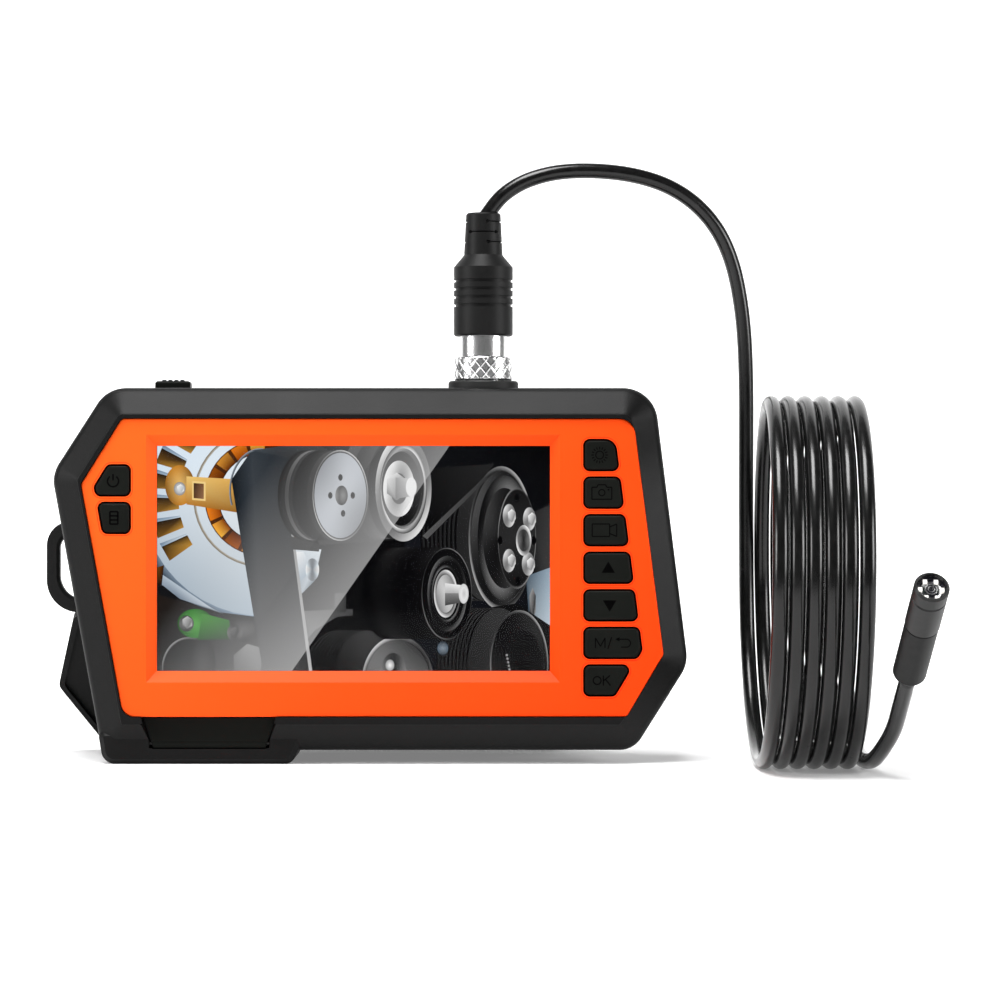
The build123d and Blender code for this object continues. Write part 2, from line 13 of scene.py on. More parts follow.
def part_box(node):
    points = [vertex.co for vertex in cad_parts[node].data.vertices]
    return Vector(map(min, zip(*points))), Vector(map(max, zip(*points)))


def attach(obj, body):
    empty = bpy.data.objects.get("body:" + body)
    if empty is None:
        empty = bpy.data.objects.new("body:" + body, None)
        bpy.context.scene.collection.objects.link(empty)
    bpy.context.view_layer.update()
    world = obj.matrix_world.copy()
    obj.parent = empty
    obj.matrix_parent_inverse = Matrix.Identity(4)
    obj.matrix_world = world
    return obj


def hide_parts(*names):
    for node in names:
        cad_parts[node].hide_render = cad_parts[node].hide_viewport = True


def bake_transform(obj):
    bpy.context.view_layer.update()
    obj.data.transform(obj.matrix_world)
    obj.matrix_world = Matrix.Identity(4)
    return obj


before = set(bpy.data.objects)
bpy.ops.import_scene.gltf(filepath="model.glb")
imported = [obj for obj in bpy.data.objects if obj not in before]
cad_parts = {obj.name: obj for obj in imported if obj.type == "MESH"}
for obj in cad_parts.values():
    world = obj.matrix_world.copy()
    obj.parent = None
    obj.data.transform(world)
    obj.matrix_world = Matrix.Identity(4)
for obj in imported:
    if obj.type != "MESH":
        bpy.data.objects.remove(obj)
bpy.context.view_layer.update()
MM = 0.001
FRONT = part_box("front_housing")[0].y
BODY_LOW, BODY_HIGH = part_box("front_housing")
print("body width in mm", round((BODY_HIGH.x - BODY_LOW.x) / MM, 1))

# %% [markdown]
# ## Where the viewer stands
# A catalogue view: level and straight at the screen, from far enough away that the sides of the body
# stay hidden. The lens follows from the width of the view.

# %% Camera
VIEW_WIDTH = 0.2412
VIEW_DISTANCE = 0.865
VIEW_HEIGHT = 0.06395
VIEW_IN_FROM_RIGHT = 0.0454
SENSOR = 36.0
camera_data = bpy.data.cameras.new("camera")
camera_data.sensor_width = SENSOR
camera_data.lens = SENSOR * VIEW_DISTANCE / VIEW_WIDTH
camera_data.clip_start = 0.01
camera = bpy.data.objects.new("camera", camera_data)
camera.location = (BODY_HIGH.x - VIEW_IN_FROM_RIGHT, FRONT - VIEW_DISTANCE, VIEW_HEIGHT)
camera.rotation_euler = (math.pi / 2, 0, 0)
bpy.context.scene.collection.objects.link(camera)
bpy.context.scene.camera = camera
print("lens in mm", round(camera_data.lens, 1))

# %% [markdown]
# ## The lead
# A semi-rigid black probe cable, 3.8 mm thick. It bends out of the plug in a springy arch, drops
# behind a wheel of six turns, runs round that wheel and leaves it at the bottom, towards the viewer,
# to the probe. It is one spline from end to end. The turns are worked out by a loop; a quadratic
# spline cuts inside its control points, so they stand a little further out than the cable itself.

# %% The route of the lead
CABLE = 0.0038
COIL_RADIUS = 0.0425
COIL_MIDDLE = Vector((0, -0.0400, 0.0444))
FIRST_LANE, LANE_STEP = 0.0949, 0.003963
POINTS_PER_TURN = 16
TURNS = 6.25
arch = [(29.7, -13.3, 133.0), (32.2, -13.3, 136.9), (36.0, -13.1, 140.3), (41.0, -12.7, 142.9),
        (48.0, -11.8, 144.7), (57.0, -10.4, 145.1), (66.6, -8.5, 144.2), (75.2, -6.5, 141.7),
        (82.2, -4.6, 137.3), (87.5, -3.0, 131.3), (91.0, -1.6, 124.0), (93.1, -0.4, 115.4),
        (94.4, 0.6, 105.3), (94.9, 1.4, 92.2), (94.9, 2.0, 76.6), (94.9, 2.4, 60.0)]
tail = [(120.7, -51.0, 2.3), (121.8, -61.5, 5.6), (123.7, -71.5, 11.0), (124.1, -80.8, 17.0),
        (124.84, -91.3, 24.8)]


def coil_points():
    """Control points of the wound turns: down at the back, forward underneath, up at the front."""
    points = []
    reach = COIL_RADIUS / math.cos(math.pi / POINTS_PER_TURN)
    for i in range(1, int(TURNS * POINTS_PER_TURN) + 1):
        turn = (i - 0.5) / POINTS_PER_TURN
        angle = 2 * math.pi * turn
        points.append(Vector((FIRST_LANE + LANE_STEP * turn,
                              COIL_MIDDLE.y + reach * math.cos(angle),
                              COIL_MIDDLE.z - reach * math.sin(angle))))
    return points


def spline_from(name, points):
    """A curve object of one open quadratic NURBS spline through the pull of these points."""
    data = bpy.data.curves.new(name, "CURVE")
    data.dimensions = "3D"
    data.resolution_u = 8
    spline = data.splines.new("NURBS")
    spline.points.add(len(points) - 1)
    for slot, point in zip(spline.points, points):
        slot.co = (*point, 1)
    spline.order_u = 3
    spline.use_endpoint_u = True
    curve = bpy.data.objects.new(name, data)
    bpy.context.scene.collection.objects.link(curve)
    return curve


def line_of(curve):
    """The points along a curve that has no bevel, in order."""
    bpy.context.view_layer.update()
    mesh = bpy.data.meshes.new_from_object(curve)
    points = [vertex.co.copy() for vertex in mesh.vertices]
    bpy.data.meshes.remove(mesh)
    return points


route = [Vector(p) * MM for p in arch] + coil_points() + [Vector(p) * MM for p in tail]
route_curve = spline_from("lead_route", route)
lead_line = line_of(route_curve)
bpy.data.objects.remove(route_curve)


# %% A tube along a line
def tube_along(name, line, radius, sides=14):
    """A round tube, closed at both ends, whose rings go along the line without twisting."""
    build = bmesh.new()
    rings = []
    forward = (line[1] - line[0]).normalized()
    across = forward.orthogonal().normalized()
    for i, point in enumerate(line):
        ahead = line[min(i + 1, len(line) - 1)] - line[max(i - 1, 0)]
        turn = forward.rotation_difference(ahead.normalized())
        across = (turn @ across).normalized()
        forward = ahead.normalized()
        side = forward.cross(across)
        ring = []
        for k in range(sides):
            angle = 2 * math.pi * k / sides
            ring.append(build.verts.new(point + (across * math.cos(angle) + side * math.sin(angle)) * radius))
        rings.append(ring)
    for first, second in zip(rings, rings[1:]):
        for k in range(sides):
            build.faces.new((first[k], first[(k + 1) % sides], second[(k + 1) % sides], second[k]))
    build.faces.new(list(reversed(rings[0])))
    build.faces.new(rings[-1])
    return piece_from(name, build)


def piece_from(name, build, smooth=True):
    """Turn a finished bmesh into an object of the scene."""
    bmesh.ops.recalc_face_normals(build, faces=build.faces)
    mesh = bpy.data.meshes.new(name)
    build.to_mesh(mesh)
    build.free()
    for polygon in mesh.polygons:
        polygon.use_smooth = smooth
    piece = bpy.data.objects.new(name, mesh)
    bpy.context.scene.collection.objects.link(piece)
    return piece


lead = tube_along("lead", lead_line, CABLE / 2)
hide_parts("cable_lead", "cable_coil", "cable_tail")
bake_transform(lead)

# %% [markdown]
# ## Studio
# A pale floor and backdrop with one big soft light above and a smaller one at each side. Dark
# plastic and turned metal show their shape through what they reflect, so the lights stand where
# those reflections fall: over the upper bevel, and beside the metal sleeve.

# %% Floor, backdrop and lights
def studio_surface(name, corners, shade, glow):
    """A plain pale quad that isn't part of the object."""
    mesh = bpy.data.meshes.new(name)
    mesh.from_pydata(corners, [], [(0, 1, 2, 3)])
    quad = bpy.data.objects.new(name, mesh)
    bpy.context.scene.collection.objects.link(quad)
    paint = bpy.data.materials.new(name)
    paint.use_nodes = True
    surface = paint.node_tree.nodes["Principled BSDF"]
    surface.inputs["Base Color"].default_value = (shade, shade, shade, 1)
    surface.inputs["Roughness"].default_value = 0.9
    surface.inputs["Emission Color"].default_value = (1, 1, 1, 1)
    surface.inputs["Emission Strength"].default_value = glow
    mesh.materials.append(paint)
    return quad


def soft_light(name, place, target, size, power):
    """A square softbox that faces a point on the object."""
    data = bpy.data.lights.new(name, "AREA")
    data.shape = "SQUARE"
    data.size = size
    data.energy = power
    light = bpy.data.objects.new(name, data)
    light.location = place
    light.rotation_euler = (Vector(target) - Vector(place)).to_track_quat("-Z", "Y").to_euler()
    bpy.context.scene.collection.objects.link(light)
    return light


studio_surface("floor", [(-3, -1.2, 0), (3, -1.2, 0), (3, 0.3, 0), (-3, 0.3, 0)], 0.85, 0.2)
studio_surface("far_floor", [(-3, 0.3, 0), (3, 0.3, 0), (3, 2, 0), (-3, 2, 0)], 0.9, 1.0)
studio_surface("backdrop", [(-3, 2, 0), (3, 2, 0), (3, 2, 3), (-3, 2, 3)], 0.9, 1.0)
soft_light("top_light", (-0.1, -0.3, 0.95), (0.03, 0, 0.07), 0.5, 14)
soft_light("left_light", (-0.75, -0.35, 0.3), (0.0, 0, 0.09), 0.3, 3.6)
soft_light("right_light", (0.8, -0.3, 0.25), (0.0, 0, 0.09), 0.3, 3.6)
print("lights", len(bpy.data.lights))
world = bpy.data.worlds.new("studio")
world.use_nodes = True
world.node_tree.nodes["Background"].inputs["Color"].default_value = (1, 1, 1, 1)
world.node_tree.nodes["Background"].inputs["Strength"].default_value = 0.05
bpy.context.scene.world = world
bpy.context.scene.view_settings.view_transform = "Standard"

# %% [markdown]
# ## Shader sums
# Finishes are written as sums on the wires between nodes. `Wire` holds one output, and + - * / on it
# add Math nodes. `Finish` is one material: `node` adds any other node from its type, its settings and
# what goes into its sockets, and `surface` sets the shader's own sockets.

# %% Wires and finishes
class Wire:
    """One output of a node, usable in Python sums with numbers and with other wires."""

    def __init__(self, finish, socket):
        self.finish = finish
        self.socket = socket

    def math(self, operation, first, second=0.0):
        return self.finish.node("ShaderNodeMath", {"operation": operation}, {0: first, 1: second})

    def __add__(self, other):
        return self.math("ADD", self, other)

    def __sub__(self, other):
        return self.math("SUBTRACT", self, other)

    def __mul__(self, other):
        return self.math("MULTIPLY", self, other)

    def __truediv__(self, other):
        return self.math("DIVIDE", self, other)

    def __rsub__(self, other):
        return self.math("SUBTRACT", other, self)

    def __rtruediv__(self, other):
        return self.math("DIVIDE", other, self)

    __radd__ = __add__
    __rmul__ = __mul__


class Finish:
    """A procedural material for one kind of surface on the object."""

    def __init__(self, name):
        self.material = bpy.data.materials.new(name)
        self.material.use_nodes = True
        self.tree = self.material.node_tree
        self.shader = self.tree.nodes["Principled BSDF"]
        self.place = self.node("ShaderNodeTexCoord", {}, {}, "Object")

    def plug(self, socket, value):
        """Link a wire, or set a plain value."""
        if isinstance(value, Wire):
            self.tree.links.new(value.socket, socket)
        else:
            socket.default_value = value

    def node(self, kind, settings, inputs, output=0):
        """Any node: settings first, then what its sockets get; returns one of its outputs."""
        made = self.tree.nodes.new(kind)
        for name, value in settings.items():
            if name == "stops":
                self.set_stops(made.color_ramp, value)
            else:
                setattr(made, name, value)
        for name, value in inputs.items():
            self.plug(made.inputs[name], value)
        return Wire(self, made.outputs[output])

    def set_stops(self, ramp, stops):
        """Colour ramp stops as (position, grey or colour)."""
        while len(ramp.elements) < len(stops):
            ramp.elements.new(0.5)
        for element, (position, colour) in zip(ramp.elements, stops):
            element.position = position
            element.color = colour_of(colour)

    def noise(self, scale, detail=3.0):
        """Cloudy variation; scale is in features per metre."""
        return self.node("ShaderNodeTexNoise", {}, {"Vector": self.place, "Scale": scale, "Detail": detail})

    def cells(self, scale):
        """Distance to the nearest of many scattered points, for grain."""
        return self.node("ShaderNodeTexVoronoi", {}, {"Vector": self.place, "Scale": scale})

    def ramp(self, value, *stops):
        """A colour that follows a value."""
        return self.node("ShaderNodeValToRGB", {"stops": stops}, {"Fac": value})

    def bump(self, height, depth, strength=1.0):
        """Raise the surface by up to depth metres."""
        return self.node("ShaderNodeBump", {}, {"Height": height, "Distance": depth, "Strength": strength})

    def surface(self, **sockets):
        """Set or link the shader's own sockets; underscores stand for spaces."""
        for name, value in sockets.items():
            if isinstance(value, tuple) and len(value) == 3:
                value = (*value, 1)
            self.plug(self.shader.inputs[name.replace("_", " ")], value)
        return self.material


def colour_of(value):
    """Four numbers from a grey or a colour."""
    if isinstance(value, (int, float)):
        return (value, value, value, 1)
    return (*value, 1)


# %% [markdown]
# ## Moulded black plastic
# The body is moulded in black with a spark-eroded texture: a fine grain that keeps it matt and hides
# scratches. Small rounded cells make the grain, and slow clouds vary the gloss as handling does.

# %% Black shell
def black_grain(name, tone, grain_scale=2600.0, grain_depth=0.00003, gloss=0.5):
    """Textured black moulding."""
    finish = Finish(name)
    grain = finish.cells(grain_scale)
    clouds = finish.noise(35.0)
    colour = finish.ramp(clouds * 0.7 + grain * 0.3, (0.2, tone * 0.75), (0.8, tone * 1.3))
    return finish.surface(Base_Color=colour, Roughness=clouds * 0.12 + gloss,
                          Specular_IOR_Level=0.16, Normal=finish.bump(grain, grain_depth, 0.6))


shell_paint = black_grain("black_shell", 0.0025, gloss=0.42)
stand_paint = black_grain("stand_black", 0.003, gloss=0.45)
ring_paint = black_grain("ring_black", 0.007, grain_depth=0.000015, gloss=0.4)

# %% [markdown]
# ## Orange face plate
# The plate is moulded in its own colour and has a satin skin. Painted shade darkens and reddens it from
# its upper left to its lower right, where less light falls, and a fine orange-peel keeps the gloss soft.

# %% Orange plate
def orange_skin():
    """Satin orange moulding, with painted shade deepening it towards its lower right."""
    finish = Finish("orange_plate")
    peel = finish.noise(1400.0)
    left_right = finish.node("ShaderNodeSeparateXYZ", {}, {"Vector": finish.place}, "X")
    up_down = finish.node("ShaderNodeSeparateXYZ", {}, {"Vector": finish.place}, "Z")
    # Painted shade: the colour darkens and reddens towards the lower right; the slow noise adds random tone.
    shade_drift = (left_right - up_down) * 4.0 + 0.7 + finish.noise(12.0, 2.0) * 0.1
    colour = finish.ramp(shade_drift, (0.05, (1.0, 0.118, 0.012)), (0.95, (0.98, 0.05, 0.001)))
    return finish.surface(Base_Color=colour, Roughness=peel * 0.1 + 0.4, Specular_IOR_Level=0.1,
                          Normal=finish.bump(peel, 0.000012, 0.5))


plate_paint = orange_skin()

# %% [markdown]
# ## Silicone keys and rubber parts
# Silicone has a dry, slightly cloudy skin. The legends are a blacker and duller rubber, so they read
# as darker shapes.

# %% Rubber finishes
def rubber(name, tone, roughness, gloss, tint=(1.0, 1.0, 1.0), grain_scale=3200.0):
    """Soft rubber with a fine dry skin."""
    finish = Finish(name)
    skin = finish.noise(grain_scale, 4.0)
    clouds = finish.noise(60.0)
    low = tuple(tone * 0.8 * t for t in tint)
    high = tuple(tone * 1.25 * t for t in tint)
    return finish.surface(Base_Color=finish.ramp(clouds, (0.3, low), (0.7, high)),
                          Roughness=skin * 0.12 + roughness, Specular_IOR_Level=gloss,
                          Normal=finish.bump(skin, 0.000015, 0.5))


key_paint = rubber("key_rubber", 0.0055, 0.45, 0.07, (0.95, 1.1, 0.9))
legend_paint = rubber("key_legend", 0.0006, 0.6, 0.02)
boot_paint = rubber("boot_rubber", 0.006, 0.42, 0.16)
washer_paint = rubber("washer_rubber", 0.008, 0.5, 0.3)
foam_paint = rubber("foam_tape", 0.05, 0.8, 0.3, grain_scale=900.0)


# %% Cable jacket
def cable_jacket():
    """Glossy black PVC with the faint drawing marks of the extruder."""
    finish = Finish("cable_jacket")
    skin = finish.noise(500.0, 2.0)
    return finish.surface(Base_Color=finish.ramp(skin, (0.3, 0.003), (0.7, 0.006)),
                          Roughness=skin * 0.1 + 0.2, Specular_IOR_Level=0.3,
                          Normal=finish.bump(skin, 0.00002, 0.25), Coat_Weight=0.15, Coat_Roughness=0.12)


jacket_paint = cable_jacket()

# %% [markdown]
# ## Metals
# The lock nut and the sleeve are turned brass under bright nickel. Turning leaves rings round the
# axis; very fine waves in the height of the surface catch the light like those rings.

# %% Metal finishes
def bright_metal(name, tone, roughness, tint=(1.0, 1.0, 1.0), rings=9000.0):
    """Plated or plain metal with turning marks across the upright axis."""
    finish = Finish(name)
    marks = finish.node("ShaderNodeTexWave", {"bands_direction": "Z"},
                        {"Vector": finish.place, "Scale": rings, "Distortion": 2.0, "Detail": 2.0})
    smear = finish.noise(150.0)
    low = tuple(tone * 0.85 * t for t in tint)
    high = tuple(tone * 1.1 * t for t in tint)
    return finish.surface(Base_Color=finish.ramp(smear, (0.3, low), (0.7, high)), Metallic=1.0,
                          Roughness=smear * 0.08 + roughness, Normal=finish.bump(marks, 0.000004, 0.3))


chrome_paint = bright_metal("bright_nickel", 0.85, 0.2)
steel_paint = bright_metal("pin_steel", 0.55, 0.28)
screw_paint = bright_metal("screw_zinc", 0.28, 0.35)
tin_paint = bright_metal("port_tin", 0.6, 0.3)
gold_paint = bright_metal("contact_gold", 0.8, 0.2, (1.0, 0.75, 0.32))


# %% Small electrical finishes
def plain_detail(name, low, high, scale, roughness, gloss=0.4):
    """A moulded or printed surface with slight variation."""
    finish = Finish(name)
    pattern = finish.noise(scale)
    return finish.surface(Base_Color=finish.ramp(pattern, (0.35, low), (0.65, high)),
                          Roughness=pattern * 0.1 + roughness, Specular_IOR_Level=gloss,
                          Normal=finish.bump(pattern, 0.00002, 0.4))


board_paint = plain_detail("board_mask", (0.005, 0.06, 0.02), (0.01, 0.11, 0.04), 400.0, 0.3)
battery_paint = plain_detail("battery_wrap", (0.03, 0.07, 0.22), (0.05, 0.1, 0.3), 60.0, 0.3)
chip_paint = plain_detail("chip_epoxy", 0.012, 0.02, 900.0, 0.5)
nylon_paint = plain_detail("nylon_black", 0.012, 0.02, 300.0, 0.3)
probe_body_paint = plain_detail("probe_body", 0.005, 0.009, 700.0, 0.42, 0.15)
probe_paint = plain_detail("probe_black_steel", 0.006, 0.01, 900.0, 0.38, 0.3)
panel_paint = plain_detail("panel_frame", 0.02, 0.035, 200.0, 0.35)


def clear_glass(name, alpha, tint):
    """A clear window: mostly transparent, with its own gloss."""
    finish = Finish(name)
    film = finish.noise(40.0)
    finish.material.surface_render_method = "BLENDED"
    return finish.surface(Base_Color=tint, Alpha=film * 0.02 + alpha, Roughness=0.03, Coat_Weight=0.3)


def lamp_white():
    """The yellow-white face of a lit LED chip."""
    finish = Finish("led_white")
    grain = finish.noise(3000.0)
    glow = finish.ramp(grain, (0.3, (1.0, 0.95, 0.85)), (0.7, (1.0, 1.0, 1.0)))
    return finish.surface(Base_Color=(0.9, 0.9, 0.85), Emission_Color=glow, Emission_Strength=1.2)


glass_paint = clear_glass("screen_glass", 0.04, (0.02, 0.02, 0.025))
lens_paint = clear_glass("probe_lens", 0.12, (0.02, 0.02, 0.03))
led_paint = lamp_white()

# %% Give every carried-over part its finish
FINISHES = {
    shell_paint: ["front_housing", "rear_cover"],
    plate_paint: ["face_plate"],
    stand_paint: ["kickstand"],
    ring_paint: ["lanyard_ring"],
    key_paint: ["port_cover", "slide_knob"] + [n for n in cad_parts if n.startswith("key_")
                                               and n != "key_switches"],
    boot_paint: ["plug_boot"],
    washer_paint: ["socket_washer"],
    foam_paint: ["battery_tape"],
    jacket_paint: ["cable_lead", "cable_coil", "cable_tail"],
    chrome_paint: ["lock_nut", "plug_sleeve", "socket_body", "socket_ring_nut"],
    steel_paint: ["kickstand_pin", "ring_pin"],
    screw_paint: ["housing_screws", "board_screws"],
    tin_paint: ["usb_port", "card_slot"],
    gold_paint: ["plug_pins"],
    probe_paint: ["probe_cap", "probe_barrel"],
    probe_body_paint: ["probe_sleeve"],
    board_paint: ["main_board", "port_board", "led_board"],
    battery_paint: ["battery_pack"],
    chip_paint: ["port_cover_pin", "processor", "key_switches", "switch_body", "camera_module"],
    nylon_paint: ["socket_core", "plug_core"],
    panel_paint: ["lcd_panel"],
    glass_paint: ["screen_glass"],
    lens_paint: ["probe_window"],
    led_paint: ["probe_leds"],
}


def coat(part, paint):
    """Give an object one finish all over."""
    part.data.materials.clear()
    part.data.materials.append(paint)
    return part


for paint, names in FINISHES.items():
    for name in names:
        coat(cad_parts[name], paint)
coat(lead, jacket_paint)
print("finished parts", sum(len(names) for names in FINISHES.values()), "of", len(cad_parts))

# %% [markdown]
# ## Legends on the keys
# The symbols read as darker lines on the silicone. Each one is made of short straight strokes, stands
# a fiftieth of a millimetre proud of its key, and moves with that key.

# %% Strokes for the legends, in millimetres from the middle of the key
def stroke(x0, z0, x1, z1, width=0.24):
    """A straight line of some width, as four corners."""
    along = Vector((x1 - x0, z1 - z0)).normalized()
    side = Vector((-along.y, along.x)) * width / 2
    return [(x0 + side.x, z0 + side.y), (x0 - side.x, z0 - side.y),
            (x1 - side.x, z1 - side.y), (x1 + side.x, z1 + side.y)]


def arc(x, z, radius, start, end, width=0.24, steps=20):
    """Part of a circle, drawn as short strokes; angles in degrees from the right, turning left."""
    points = []
    for i in range(steps + 1):
        angle = math.radians(start + (end - start) * i / steps)
        points.append((x + radius * math.cos(angle), z + radius * math.sin(angle)))
    return [stroke(*first, *second, width) for first, second in zip(points, points[1:])]


def outline(*points, width=0.24):
    """Strokes round a closed shape."""
    return [stroke(*first, *second, width) for first, second in zip(points, points[1:] + points[:1])]


def rays(x, z, near, far, count):
    """Short strokes that point away from a middle."""
    made = []
    for i in range(count):
        angle = 2 * math.pi * i / count
        made.append(stroke(x + near * math.cos(angle), z + near * math.sin(angle),
                           x + far * math.cos(angle), z + far * math.sin(angle)))
    return made


LEGENDS = {
    "power": arc(0.2, -0.2, 1.35, 125, 415, 0.34) + [stroke(0.2, 0.0, 0.2, 1.5, 0.34)],
    "menu": outline((-1.0, -1.5), (0.9, -1.5), (0.9, 1.5), (-1.0, 1.5), width=0.36)
    + [stroke(-1.0, -0.5, 0.9, -0.5, 0.36), stroke(-1.0, 0.5, 0.9, 0.5, 0.36)],
    "light": arc(-0.35, 0, 0.95, 0, 360) + rays(-0.35, 0, 1.4, 2.0, 16),
    "photo": outline((-2.8, -1.6), (2.0, -1.6), (2.0, 1.3), (0.8, 1.3), (0.5, 1.9), (-1.3, 1.9), (-1.6, 1.3),
                     (-2.8, 1.3)) + arc(-0.4, 0.0, 0.75, 0, 360) + arc(1.2, 0.7, 0.12, 0, 360),
    "video": outline((-3.3, -1.5), (0.9, -1.5), (0.9, 1.5), (-3.3, 1.5))
    + outline((0.9, -0.8), (2.6, -1.5), (2.6, 1.5), (0.9, 0.8)),
    "up": [[(-1.6, -1.2), (1.6, -1.2), (0, 1.5)]],
    "down": [[(-1.85, 1.2), (-0.25, -1.5), (1.35, 1.2)]],
    "return": [stroke(-4.2, -1.2, -4.2, 1.2), stroke(-4.2, 1.2, -3.0, -0.8), stroke(-3.0, -0.8, -1.9, 1.2),
               stroke(-1.9, 1.2, -1.9, -1.2), stroke(-1.2, -1.4, -0.3, 1.4), stroke(1.5, 0.9, 3.3, 0.9),
               stroke(2.0, -1.0, 3.3, -1.0), [(0.6, 0.9), (1.6, 0.4), (1.6, 1.4)]]
    + arc(3.3, -0.05, 0.95, -90, 90),
    "ok": arc(-2.2, 0, 0.95, 0, 360, 0.28) + [stroke(-0.7, -1.2, -0.7, 1.2, 0.28),
                                              stroke(-0.7, -0.1, 0.9, 1.2, 0.28),
                                              stroke(-0.2, 0.3, 1.0, -1.2, 0.28)],
}


def legend(key, shapes):
    """The symbol of one key, as a skin on its face."""
    low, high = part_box(key)
    cap_left = low.x + 0.8 * MM
    cap_right = high.x - 0.8 * MM
    middle = Vector(((cap_left + cap_right) / 2, low.y, (low.z + high.z) / 2))
    build = bmesh.new()
    for shape in shapes:
        front = [build.verts.new(middle + Vector((x * MM, -0.02 * MM, z * MM))) for x, z in shape]
        back = [build.verts.new(middle + Vector((x * MM, 0.03 * MM, z * MM))) for x, z in shape]
        build.faces.new(front)
        build.faces.new(list(reversed(back)))
        for i in range(len(shape)):
            j = (i + 1) % len(shape)
            build.faces.new((front[i], back[i], back[j], front[j]))
    return coat(piece_from("legend_" + key, build, smooth=False), legend_paint)


for name, shapes in LEGENDS.items():
    skin = legend("key_" + name, shapes)
    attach(skin, "key_" + name)
print("legends", len(LEGENDS))

# %% [markdown]
# ## Painted shade round each key
# Round the hole of each key a thin deep red bead is painted shade and painted bounce light: the hole's
# wall in shadow, reddened by light off the plate. Its outline is taken from the key's own mesh, pushed
# outwards by the clearance.

# %% Painted shade round the keys
# Painted shade: a deep red bead stands for the shaded, red-lit wall of each key hole.
SHADE_RIM_GAP, SHADE_RIM_WIDTH = 0.44 * MM, 0.42 * MM


def lip_red():
    """Deep red paint for the shaded, red-lit wall of each key hole, as satin as the plate."""
    finish = Finish("lip_red")
    shade_drift = finish.noise(300.0)
    colour = finish.ramp(shade_drift, (0.3, (0.75, 0.006, 0.001)), (0.7, (0.88, 0.01, 0.002)))
    return finish.surface(Base_Color=colour,
                          Roughness=shade_drift * 0.1 + 0.4, Specular_IOR_Level=0.1,
                          Normal=finish.bump(shade_drift, 0.00001, 0.4))


def cap_outline(key):
    """The key's outline just behind its rounded front edge, in order round the key."""
    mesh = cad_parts[key].data
    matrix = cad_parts[key].matrix_world
    corners = [matrix @ vertex.co for vertex in mesh.vertices]
    cap = [Vector((p.x, p.z)) for p in corners if p.y - FRONT < 2.0 * MM]
    order = geometry.convex_hull_2d(cap)
    return [cap[i] for i in order]


def pushed_out(points, distance):
    """A convex outline moved outwards."""
    middle = sum(points, Vector((0, 0))) / len(points)
    moved = []
    for before, here, after in zip(points[-1:] + points[:-1], points, points[1:] + points[:1]):
        along = (after - before).normalized()
        out = Vector((along.y, -along.x))
        if out.dot(here - middle) < 0:
            out = -out
        moved.append(here + out * distance)
    return moved


def key_shade_rim(key):
    """A thin rounded bead of painted shade round the hole of one key."""
    inner = pushed_out(cap_outline(key), SHADE_RIM_GAP)
    outer = pushed_out(cap_outline(key), SHADE_RIM_GAP + SHADE_RIM_WIDTH)
    plate_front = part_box("face_plate")[0].y
    build = bmesh.new()
    loops = []
    for points, depth in ((inner, 1.4), (inner, 0.05), (outer, -0.02), (outer, 0.3)):
        loops.append([build.verts.new((p.x, plate_front + depth * MM, p.y)) for p in points])
    for first, second in zip(loops, loops[1:]):
        for i in range(len(inner)):
            j = (i + 1) % len(inner)
            build.faces.new((first[i], first[j], second[j], second[i]))
    return piece_from("lip_" + key, build, smooth=False)


shade_rim_paint = lip_red()
# Each bead is painted shade round a key hole.
for name in LEGENDS:
    lip = coat(key_shade_rim("key_" + name), shade_rim_paint)
    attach(lip, "root")
print("shade rims round keys", len(LEGENDS))

# %% [markdown]
# ## Lock nut
# The nut is knurled by two rollers with opposite threads, which leaves crossing ridges. The height
# of the surface is the higher of two families of slanted ridges, worked out point by point.

# %% Knurled lock nut
NUT_LOW, NUT_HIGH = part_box("lock_nut")
NUT_MIDDLE = (NUT_LOW + NUT_HIGH) / 2
RIDGES = 18
RIDGE_RISE = 0.12 * MM
RIDGE_SHARPNESS = 12


def ridge(turns):
    """Height of one family of thin ridges, 0 to 1, one ridge for each whole number."""
    return max(0.0, 1 - abs(turns - round(turns)) * RIDGE_SHARPNESS)


def turned_piece(name, profile, sides, origin, aim, relief=None):
    """A turned piece from (radius, height) points, with an optional relief on its radius."""
    build = bmesh.new()
    across = aim.orthogonal().normalized()
    other = aim.cross(across)
    rings = []
    for radius, height in profile:
        ring = []
        for k in range(sides):
            angle = 2 * math.pi * k / sides
            grown = radius + (relief(angle, radius, height) if relief else 0)
            out = across * math.cos(angle) + other * math.sin(angle)
            ring.append(build.verts.new(origin + out * grown + aim * height))
        rings.append(ring)
    for first, second in zip(rings, rings[1:]):
        for k in range(sides):
            build.faces.new((first[k], first[(k + 1) % sides], second[(k + 1) % sides], second[k]))
    return piece_from(name, build)


def knurl(angle, radius, height):
    """Crossing ridges on the outer skin of the nut, away from its ends."""
    low, high = NUT_LOW.z + 0.3 * MM, NUT_HIGH.z - 0.3 * MM
    if radius < 7.0 * MM or not low < height < high:
        return 0.0
    around = RIDGES * angle / (2 * math.pi)
    along = (height - NUT_LOW.z) / (3.1 * MM)
    return RIDGE_RISE * max(ridge(around + along), ridge(around - along))


def nut_profile():
    """Bore, step, rounded ends and a finely divided outer skin."""
    low, high = NUT_LOW.z, NUT_HIGH.z
    skin = [(7.08 * MM, low + (0.3 + i * 0.1) * MM) for i in range(52)]
    return ([(4.95 * MM, high), (4.95 * MM, high - 1.1 * MM), (5.52 * MM, high - 1.1 * MM), (5.52 * MM, low),
             (6.95 * MM, low)] + skin + [(6.9 * MM, high), (4.95 * MM, high)])


NUT_FOOT = Vector((NUT_MIDDLE.x, NUT_MIDDLE.y, 0))
nut = turned_piece("knurled_nut", nut_profile(), 480, NUT_FOOT, Vector((0, 0, 1)), knurl)
coat(nut, chrome_paint)
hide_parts("lock_nut")
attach(nut, "lock_nut")
print("nut faces", len(nut.data.polygons))

# %% [markdown]
# ## Face of the probe
# Behind the window a bright reflector holds six white lamps with dark dividers between them, round
# the stepped black mount of the camera's lens.

